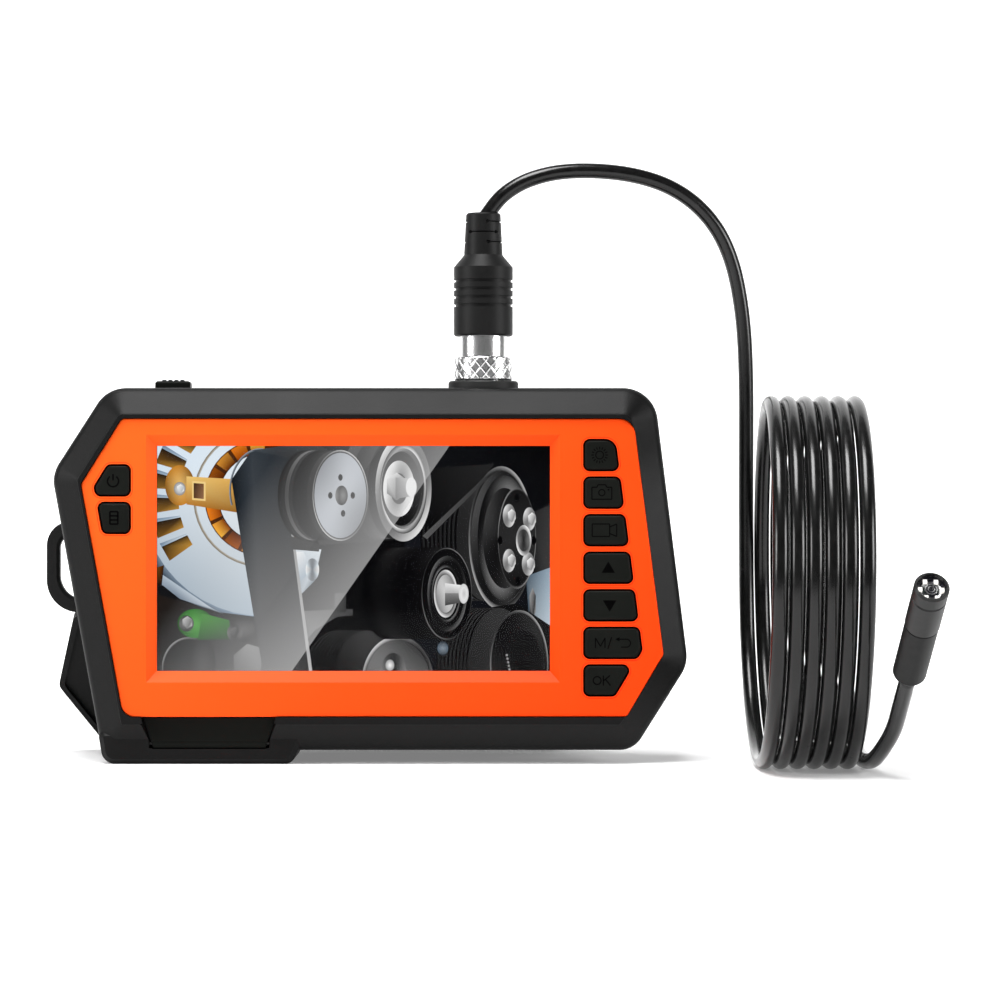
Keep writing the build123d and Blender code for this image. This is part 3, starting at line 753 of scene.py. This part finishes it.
# %% Reflector, dividers and lens mount
PROBE_REAR = Vector((124.84, -91.3, 24.8)) * MM
PROBE_AIM = Vector((0.054, -0.805, 0.592)).normalized()
silver_paint = bright_metal("reflector_silver", 0.75, 0.3, rings=3000.0)
dark_paint = plain_detail("lens_mount_black", 0.004, 0.008, 800.0, 0.3)
grey_paint = bright_metal("lens_ring_grey", 0.3, 0.3)


def probe_ring(name, inner, outer, depth, paint):
    """A flat ring at a distance along the probe, with a little thickness."""
    profile = [(inner * MM, (depth - 0.1) * MM), (inner * MM, depth * MM), (outer * MM, depth * MM),
               (outer * MM, (depth - 0.1) * MM), (inner * MM, (depth - 0.1) * MM)]
    ring = coat(turned_piece(name, profile, 64, PROBE_REAR, PROBE_AIM), paint)
    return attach(ring, "root")


def dividers():
    """Six dark bars between the lamps, each bent round the probe's axis."""
    build = bmesh.new()
    across = PROBE_AIM.orthogonal().normalized()
    other = PROBE_AIM.cross(across)
    for i in range(6):
        for k in range(6):
            corners = []
            for radius, step in ((2.35, k), (2.75, k), (2.75, k + 1), (2.35, k + 1)):
                angle = math.radians(60 * i + 12 + step * 6)
                out = across * math.cos(angle) + other * math.sin(angle)
                corners.append(build.verts.new(PROBE_REAR + out * radius * MM + PROBE_AIM * 33.12 * MM))
            build.faces.new(corners)
    return coat(piece_from("lamp_dividers", build, smooth=False), dark_paint)


probe_ring("reflector", 1.62, 3.26, 33.05, silver_paint)
probe_ring("lens_rim", 1.15, 1.46, 33.66, grey_paint)
probe_ring("lens_well", 0.8, 1.15, 33.64, dark_paint)
probe_ring("lens_step", 0.6, 0.8, 33.66, grey_paint)
probe_ring("lens_pupil", 0.02, 0.6, 33.64, dark_paint)
bars = dividers()
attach(bars, "root")
print("divider faces", len(bars.data.polygons))

# %% [markdown]
# ## The picture on the screen
# The display shows what its camera sees: the belt drive of an engine. It is drawn as flat coloured
# shapes in thin layers behind the glass, cut off at the edges of the display. Distances are in
# heights of the display from its upper left corner, and shades run from 0 to 255.

# %% A drawing in layers
GLASS_LOW, GLASS_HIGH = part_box("screen_glass")
SCREEN_MARGIN = 2 * MM
SCREEN_LEFT = GLASS_LOW.x + SCREEN_MARGIN
SCREEN_TOP = GLASS_HIGH.z - SCREEN_MARGIN
SCREEN_HEIGHT = SCREEN_TOP - (GLASS_LOW.z + SCREEN_MARGIN)
SCREEN_WIDE = (GLASS_HIGH.x - SCREEN_MARGIN - SCREEN_LEFT) / SCREEN_HEIGHT
LAYER = 0.0015 * MM


def shade_of(colour):
    """A grey or a colour from 0 to 255 as light."""
    parts = (colour, colour, colour) if isinstance(colour, (int, float)) else colour
    return [(max(part, 0) / 255) ** 2.2 for part in parts]


class Picture:
    """Flat coloured shapes, each in front of the one before."""

    def __init__(self):
        self.corners = []
        self.shades = []
        self.faces = []
        self.layer = 0

    def shape(self, points, colours, cover=1.0):
        """One filled convex shape; colours and cover are for all points, or one for each."""
        colours = colours if isinstance(colours, list) else [colours] * len(points)
        cover = cover if isinstance(cover, list) else [cover] * len(points)
        loop = [[x, y, *shade_of(c), a] for (x, y), c, a in zip(points, colours, cover)]
        for axis, edge, side in ((0, 0, 1), (0, SCREEN_WIDE, -1), (1, 0, 1), (1, 1, -1)):
            loop = cut_off(loop, axis, edge, side)
        if len(loop) > 2:
            first = len(self.corners)
            depth = GLASS_HIGH.y - 0.02 * MM - self.layer * LAYER
            for corner in loop:
                self.corners.append((SCREEN_LEFT + corner[0] * SCREEN_HEIGHT, depth,
                                     SCREEN_TOP - corner[1] * SCREEN_HEIGHT))
                self.shades.append(corner[2:])
            self.faces.append(list(range(first, first + len(loop))))

    def ellipse(self, x, y, wide, high, middle, rim, sheen=0.0, turn=0.0, steps=44):
        """A filled ellipse that shades from its middle to its rim; sheen is metal's two bright fans."""
        self.layer += 1
        for i in range(steps):
            ends = [2 * math.pi * k / steps for k in (i, i + 1)]
            glints = [1 + sheen * math.cos(2 * (end - turn)) for end in ends]
            points = [(x, y)] + [(x + wide * math.cos(end), y + high * math.sin(end)) for end in ends]
            self.shape(points, [middle] + [scaled(rim, glint) for glint in glints])

    def hoop(self, x, y, wide, high, inside, outer, inner, sheen=0.0, turn=0.0, start=0, end=360):
        """A ring; inside is the size of its hole, as a share of its own size."""
        self.layer += 1
        steps = max(6, int((end - start) / 8))
        for i in range(steps):
            ends = [math.radians(start + (end - start) * k / steps) for k in (i, i + 1)]
            points = []
            colours = []
            for size, colour, order in ((1, outer, ends), (inside, inner, ends[::-1])):
                for angle in order:
                    points.append((x + wide * size * math.cos(angle), y + high * size * math.sin(angle)))
                    colours.append(scaled(colour, 1 + sheen * math.cos(2 * (angle - turn))))
            self.shape(points, colours)

    def area(self, points, colours, cover=1.0):
        """A convex area on a layer of its own."""
        self.layer += 1
        self.shape(points, colours, cover)

    def hexagon(self, x, y, wide, high, light, dark):
        """The head of a bolt."""
        angles = [math.radians(30 + 60 * i) for i in range(6)]
        self.area([(x + wide * math.cos(a), y + high * math.sin(a)) for a in angles],
                  [light, dark, dark, light, light, dark])

    def barrel(self, x0, x1, y, wide, high, shades, sheen=0.3):
        """The side of a drum seen at a slant: ellipses in a row, one shade each."""
        for i, colour in enumerate(shades):
            x = x0 + (x1 - x0) * i / (len(shades) - 1)
            self.ellipse(x, y, wide, high, colour, colour, sheen, math.pi / 2)


def scaled(colour, share):
    """A shade made lighter or darker."""
    if isinstance(colour, (int, float)):
        return min(255, colour * share)
    return tuple(min(255, part * share) for part in colour)


def cut_off(loop, axis, edge, side):
    """The part of a shape on one side of an edge, its colours following."""
    kept = []
    for here, after in zip(loop, loop[1:] + loop[:1]):
        a = (here[axis] - edge) * side
        b = (after[axis] - edge) * side
        if a >= 0:
            kept.append(here)
        if (a > 0 > b) or (a < 0 < b):
            share = a / (a - b)
            kept.append([p + (q - p) * share for p, q in zip(here, after)])
    return kept


# %% The engine in the picture
WHITE, PALE, GOLD, AMBER = (240, 246, 250), (178, 194, 208), (226, 170, 84), (196, 104, 26)


def alternator(picture):
    """White casting at the left with cooling slots, copper windings and a gold bracket."""
    x, y = 0.47, 0.23
    picture.area([(0, 0), (0.62, 0), (0.62, 0.62), (0, 0.62)],
                 [(214, 224, 232), WHITE, PALE, (120, 138, 156)])
    picture.ellipse(x, y, 0.57, 0.56, WHITE, (196, 212, 226), 0.12, 0.6)
    picture.hoop(x, y, 0.57, 0.56, 0.94, (70, 84, 100), (150, 170, 190), 0.2, 0.9)
    for i in range(8):
        angle = math.radians(150 + i * 13)
        along = Vector((math.cos(angle), math.sin(angle)))
        side = Vector((-along.y, along.x)) * 0.024
        far, near = Vector((x, y)) + along * 0.5, Vector((x, y)) + along * 0.375
        picture.area([tuple(far + side * 1.5), tuple(far - side * 1.5),
                      tuple(near - side), tuple(near + side)],
                     [(30, 26, 24), (120, 84, 36), (190, 140, 60), (50, 40, 30)])
        picture.area([tuple(far + side * 2.2), tuple(far + side * 1.5),
                      tuple(near + side), tuple(near + side * 1.3)],
                     [(100, 122, 146), (140, 162, 184), (224, 236, 244), (160, 180, 200)])
    picture.hoop(x, y, 0.31, 0.31, 0.965, (120, 104, 78), (190, 186, 176))
    picture.hoop(x, y, 0.26, 0.26, 0.75, (90, 50, 20), (60, 36, 20))
    for i in range(9):
        picture.hoop(x, y, 0.255, 0.255, 0.78, AMBER if i % 2 else (240, 160, 60), (120, 56, 14), 0.25, i,
                     start=96 + i * 20, end=112 + i * 20)
    picture.ellipse(0.1, 0.175, 0.065, 0.09, (236, 190, 110), (170, 112, 40), 0.2, 1.2)
    picture.area([(0.13, 0.135), (0.38, 0.15), (0.38, 0.3), (0.13, 0.26)],
                 [(246, 204, 120), GOLD, (150, 98, 34), (190, 128, 54)])
    picture.area([(0.155, 0.155), (0.215, 0.16), (0.215, 0.245), (0.155, 0.24)], (250, 214, 140))
    picture.area([(0.162, 0.165), (0.207, 0.168), (0.207, 0.236), (0.162, 0.232)],
                 [(60, 40, 26), (130, 90, 60), (150, 110, 80), (90, 60, 40)])
    picture.ellipse(0.1, 0.19, 0.026, 0.03, (255, 255, 255), (140, 140, 140))
    picture.hexagon(0.104, 0.19, 0.018, 0.02, (255, 255, 255), (190, 196, 200))


def lower_left(picture):
    """Dark bay under the casting with the green tensioner lever."""
    picture.area([(0, 0.66), (0.28, 0.74), (0.6, 0.78), (0.6, 1), (0, 1)], [(40, 34, 30), 34, 60, 90, 26])
    picture.area([(0, 0.6), (0.1, 0.68), (0.3, 0.75), (0.24, 0.72), (0.02, 0.57)],
                 [(150, 164, 178), (120, 134, 150), (60, 70, 80), (200, 210, 220), (180, 194, 206)])
    picture.area([(0, 0.54), (0.03, 0.53), (0.02, 0.62), (0, 0.62)], [(110, 66, 24), (60, 40, 20), 20, 20])
    picture.ellipse(0.14, 0.99, 0.12, 0.14, 44, 26, 0.2)
    picture.hoop(0.14, 0.99, 0.12, 0.14, 0.93, 120, 60, 0.4, 0.8)
    picture.ellipse(0.2, 0.97, 0.06, 0.12, 70, 30)
    picture.ellipse(0.17, 0.79, 0.08, 0.065, (86, 168, 70), (38, 100, 34), 0.2, 1.4)
    picture.area([(0.2, 0.745), (0.32, 0.775), (0.33, 0.86), (0.18, 0.862)],
                 [(74, 150, 60), (50, 120, 44), (20, 60, 20), (30, 84, 28)])
    picture.ellipse(0.13, 0.79, 0.033, 0.036, 120, 70, 0.3)
    picture.hexagon(0.134, 0.785, 0.025, 0.028, 196, 120)
    picture.ellipse(0.385, 0.815, 0.05, 0.055, 96, 58, 0.3)
    picture.ellipse(0.345, 0.83, 0.034, 0.038, 44, 84, 0.3)
    picture.hexagon(0.345, 0.83, 0.022, 0.026, 104, 40)
    picture.area([(0.34, 0.93), (0.4, 0.88), (0.47, 0.9), (0.46, 1), (0.34, 1)], [110, 150, 140, 120, 90])


def middle_casting(picture):
    """The dark bay right of the belt, and pale metal between the belt and the rollers."""
    picture.area([(0.6, 0), (1.1, 0), (1.1, 1), (0.66, 1)], [20, 14, 12, 26])
    picture.area([(0.59, 0.46), (0.73, 0.46), (0.7, 0.6), (0.64, 0.66), (0.6, 0.62)],
                 [(210, 220, 228), (236, 244, 250), (120, 134, 146), (190, 200, 210), (150, 162, 174)])
    picture.area([(0.61, 0.47), (0.65, 0.47), (0.69, 0.55), (0.64, 0.6)],
                 [(255, 255, 255), WHITE, PALE, PALE])
    picture.ellipse(0.69, 0.55, 0.03, 0.05, (90, 100, 110), (190, 200, 208), 0.4)
    picture.area([(0.64, 0.735), (0.87, 0.725), (0.87, 0.755), (0.8, 0.76), (0.7, 0.82), (0.66, 0.87)],
                 [112, 74, 66, 84, 120, 104])
    picture.area([(0.79, 0.655), (0.84, 0.655), (0.84, 0.74), (0.79, 0.74)], [96, 70, 56, 84])


def belts_and_idlers(picture):
    """The flat belt, its driven pulley and the two plain idlers."""
    picture.area([(0.86, 0), (1.05, 0), (1.05, 0.42), (0.72, 0.44), (0.7, 0.3)], [84, 60, 24, 60, 70])
    picture.area([(1.2, 0.1), (1.5, 0.08), (1.46, 0.13), (1.22, 0.38), (1.16, 0.3)], [24, 40, 30, 12, 10])
    picture.area([(1.18, 0.4), (1.46, 0.135), (1.47, 0.145), (1.2, 0.415)], [90, 60, 52, 86])
    picture.barrel(0.98, 1.09, 0.19, 0.12, 0.225, [52, 64, 40, 78])
    picture.hoop(1.095, 0.19, 0.125, 0.235, 0.72, 176, 120, 0.35, 0.9)
    picture.hoop(1.095, 0.19, 0.105, 0.2, 0.9, 60, 210, 0.3, 2.4)
    picture.ellipse(1.085, 0.19, 0.088, 0.165, 26, 40, 0.4)
    picture.hoop(1.075, 0.19, 0.07, 0.125, 0.55, 255, 190, 0.25, 0.4)
    picture.hexagon(1.065, 0.18, 0.05, 0.062, 232, 120)
    picture.area([(1.06, 0.14), (1.125, 0.145), (1.125, 0.225), (1.06, 0.235)], [150, 214, 176, 96])
    picture.ellipse(1.13, 0.183, 0.024, 0.043, (255, 255, 255), (255, 255, 255))
    picture.area([(0.33, 0.15), (0.42, 0.02), (0.6, 0.02), (0.57, 0.12), (0.68, 1), (0.47, 1), (0.37, 0.4)],
                 [(24, 28, 32), (58, 64, 70), (42, 46, 50), (44, 48, 52), 66, 84, (36, 42, 48)])
    picture.hoop(0.46, 0.2, 0.14, 0.19, 0.94, (150, 160, 170), (40, 46, 52), start=160, end=275)
    picture.area([(0.42, 0.02), (0.7, -0.02), (0.76, 0.02), (0.62, 0.06)], [(70, 76, 82), 60, 44, 40])
    picture.area([(0.562, 0.13), (0.57, 0.12), (0.69, 1), (0.675, 1)], [150, 150, 190, 190])
    picture.area([(0.59, 0.4), (0.72, 0.44), (0.72, 0.47), (0.6, 0.46)], [60, 40, 30, 50])
    picture.barrel(0.66, 0.79, 0.22, 0.125, 0.2, [28, 42, 96, 54, 26, 30, 34, 40, 60])
    picture.hoop(0.815, 0.22, 0.124, 0.202, 0.95, 190, 20, 0.3, 2.2)
    picture.ellipse(0.815, 0.22, 0.116, 0.19, (206, 210, 216), (176, 180, 186), 0.14, 2.3)
    picture.ellipse(0.82, 0.22, 0.028, 0.044, 60, 110, 0.3)
    picture.ellipse(0.827, 0.22, 0.02, 0.036, 140, 90)
    for x, y in ((0.815, 0.14), (0.77, 0.22), (0.87, 0.22), (0.827, 0.3)):
        picture.ellipse(x, y, 0.01, 0.015, 20, 60, steps=14)


def ribbed_pulleys(picture):
    """The crank pulley at the right and the grooved pulleys along the bottom."""
    grooves = [14, 46] * 9
    picture.area([(1.66, 0.3), (1.75, 0.26), (1.75, 0.6), (1.68, 0.62)], [40, 56, 66, 30])
    picture.area([(1.64, 0.58), (1.75, 0.54), (1.75, 0.95), (1.66, 0.86)],
                 [(70, 84, 96), (150, 170, 186), (214, 228, 238), (60, 74, 86)])
    picture.hexagon(1.67, 0.7, 0.016, 0.07, 150, 60)
    picture.barrel(1.3, 1.46, 0.4, 0.13, 0.29, grooves, 0.2)
    picture.ellipse(1.53, 0.41, 0.145, 0.32, 24, 52, 0.5, 0.6)
    picture.hoop(1.53, 0.41, 0.145, 0.32, 0.93, 130, 28, 0.5, 2.3)
    picture.hoop(1.545, 0.41, 0.12, 0.28, 0.8, 34, 74, 0.6, 2.0)
    picture.ellipse(1.6, 0.41, 0.085, 0.225, 46, 34, 0.3)
    picture.hoop(1.6, 0.41, 0.085, 0.225, 0.95, 112, 40, 0.4, 0.7)
    for x, y in ((1.6, 0.232), (1.605, 0.6), (1.525, 0.42), (1.675, 0.42)):
        picture.ellipse(x, y, 0.011, 0.02, 4, 16, steps=14)
    for x, y in ((1.565, 0.31), (1.655, 0.325), (1.565, 0.51), (1.65, 0.525)):
        picture.ellipse(x, y, 0.028, 0.052, 120, 180, 0.3, 0.8, 20)
        picture.hexagon(x + 0.012, y, 0.02, 0.03, 250, 140)
    picture.hoop(1.63, 0.42, 0.034, 0.068, 0.72, 214, 120, 0.3, 2.4)
    picture.ellipse(1.63, 0.42, 0.024, 0.048, 36, 90, 0.3)
    picture.area([(1.33, 0.74), (1.6, 0.7), (1.75, 0.8), (1.75, 1), (1.3, 1)], [30, 20, 30, 16, 24])
    picture.barrel(1.38, 1.52, 0.98, 0.14, 0.26, grooves, 0.2)
    picture.ellipse(1.61, 0.97, 0.13, 0.24, 20, 34, 0.4, 2.3)
    picture.hoop(1.61, 0.97, 0.13, 0.24, 0.94, 124, 30, 0.5, 2.4)
    picture.ellipse(1.63, 0.99, 0.085, 0.17, 8, 24)
    for i in range(5):
        picture.ellipse(1.555 + i * 0.003, 0.93 + i * 0.016, 0.006, 0.006, 190, 90, steps=10)
    picture.barrel(0.8, 0.94, 1.04, 0.16, 0.22, grooves, 0.4)
    picture.ellipse(1.07, 1.05, 0.16, 0.205, 120, 84, 0.4, 0.6)
    picture.hoop(1.07, 1.05, 0.16, 0.205, 0.9, 150, 50, 0.5, 0.9)
    picture.ellipse(1.05, 1.02, 0.06, 0.1, 40, 96, 0.4)
    picture.ellipse(1.035, 0.975, 0.02, 0.025, (255, 255, 255), 150)
    picture.ellipse(1.27, 0.9, 0.024, 0.032, (130, 142, 152), (60, 70, 80), 0.4)


def roller(picture):
    """The plain tensioner roller in the middle with its big bolt."""
    picture.barrel(1.02, 1.26, 0.655, 0.11, 0.205, [10, 14, 22, 26, 24, 20, 16, 14, 12, 14, 18, 22], 0.4)
    picture.ellipse(1.288, 0.657, 0.112, 0.204, 30, 16, 0.3, 2.3)
    picture.hoop(1.288, 0.657, 0.112, 0.204, 0.97, 96, 20, 0.5, 2.3)
    picture.hoop(1.29, 0.657, 0.088, 0.168, 0.86, 70, 34, 0.5, 0.6)
    picture.hoop(1.285, 0.657, 0.066, 0.13, 0.9, 28, 80, 0.5, 0.8)
    picture.ellipse(1.283, 0.657, 0.052, 0.106, 214, 150, 0.3, 0.9)
    picture.hoop(1.283, 0.657, 0.052, 0.106, 0.8, 236, 90, 0.3, 2.4)
    picture.area([(1.28, 0.61), (1.36, 0.62), (1.36, 0.695), (1.28, 0.71)], [236, 250, 110, 90])
    picture.area([(1.28, 0.655), (1.36, 0.655), (1.36, 0.695), (1.28, 0.71)], [130, 140, 80, 70])
    picture.ellipse(1.363, 0.657, 0.022, 0.044, 255, 216)
    picture.ellipse(1.365, 0.657, 0.013, 0.03, 200, 236)


def engine_picture():
    """The whole view, farthest parts first, and a slanting reflection over its left half."""
    picture = Picture()
    picture.area([(0, 0), (SCREEN_WIDE, 0), (SCREEN_WIDE, 1), (0, 1)], [(30, 32, 36), 10, (22, 24, 28), 20])
    alternator(picture)
    lower_left(picture)
    middle_casting(picture)
    ribbed_pulleys(picture)
    belts_and_idlers(picture)
    roller(picture)
    # Painted reflection of the cover glass: two slanting pale bands laid over the picture.
    for near, far, strong, weak in ((0, 0.3, 0.44, 0.22), (0.3, 0.75, 0.22, 0.0)):
        picture.area([(1.3 - near, 0), (1.3 - far, 0), (0.6 - far, 1), (0.6 - near, 1)], 225,
                     [strong * 0.75, weak * 0.6, weak, strong])
    return picture


# %% Lit display
def lit_display():
    """Light of the colours stored on the drawing; its fourth value is how much it covers."""
    finish = Finish("lit_display")
    stored = finish.node("ShaderNodeVertexColor", {"layer_name": "picture"}, {})
    cover = finish.node("ShaderNodeVertexColor", {"layer_name": "picture"}, {}, "Alpha")
    finish.material.surface_render_method = "BLENDED"
    return finish.surface(Base_Color=(0.0, 0.0, 0.0), Emission_Color=stored, Emission_Strength=1.0,
                          Alpha=cover, Roughness=0.5, Specular_IOR_Level=0.0)


def display_piece(picture):
    """The drawing as one mesh with its colours stored on the corners."""
    mesh = bpy.data.meshes.new("screen_picture")
    mesh.from_pydata(picture.corners, [], picture.faces)
    layer = mesh.color_attributes.new("picture", "FLOAT_COLOR", "POINT")
    for spot, shade in zip(layer.data, picture.shades):
        spot.color = shade
    piece = bpy.data.objects.new("screen_picture", mesh)
    bpy.context.scene.collection.objects.link(piece)
    return coat(piece, lit_display())


drawing = engine_picture()
display = display_piece(drawing)
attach(display, "root")
print("picture layers", drawing.layer, "shapes", len(drawing.faces))


# %% [markdown]
# ## Cover glass
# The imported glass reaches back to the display. Here it is a thinner pane with bevelled edges, so
# that the picture has room behind it.

# %% Thin cover glass
def cover_glass():
    """A thin clear pane with a small bevel."""
    build = bmesh.new()
    bevel = 0.15 * MM
    back = GLASS_HIGH.y - 0.5 * MM
    loops = []
    for depth, edge in ((GLASS_LOW.y, bevel), (GLASS_LOW.y + bevel, 0), (back, 0)):
        x0, x1 = GLASS_LOW.x + edge, GLASS_HIGH.x - edge
        z0, z1 = GLASS_LOW.z + edge, GLASS_HIGH.z - edge
        loops.append([build.verts.new((x, depth, z)) for x, z in ((x0, z0), (x1, z0), (x1, z1), (x0, z1))])
    build.faces.new(loops[0])
    build.faces.new(loops[-1])
    for first, second in zip(loops, loops[1:]):
        for i in range(4):
            build.faces.new((first[i], first[(i + 1) % 4], second[(i + 1) % 4], second[i]))
    return coat(piece_from("cover_glass", build, smooth=False), glass_paint)


pane = cover_glass()
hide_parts("screen_glass")
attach(pane, "root")
print("pane corners", len(pane.data.vertices))
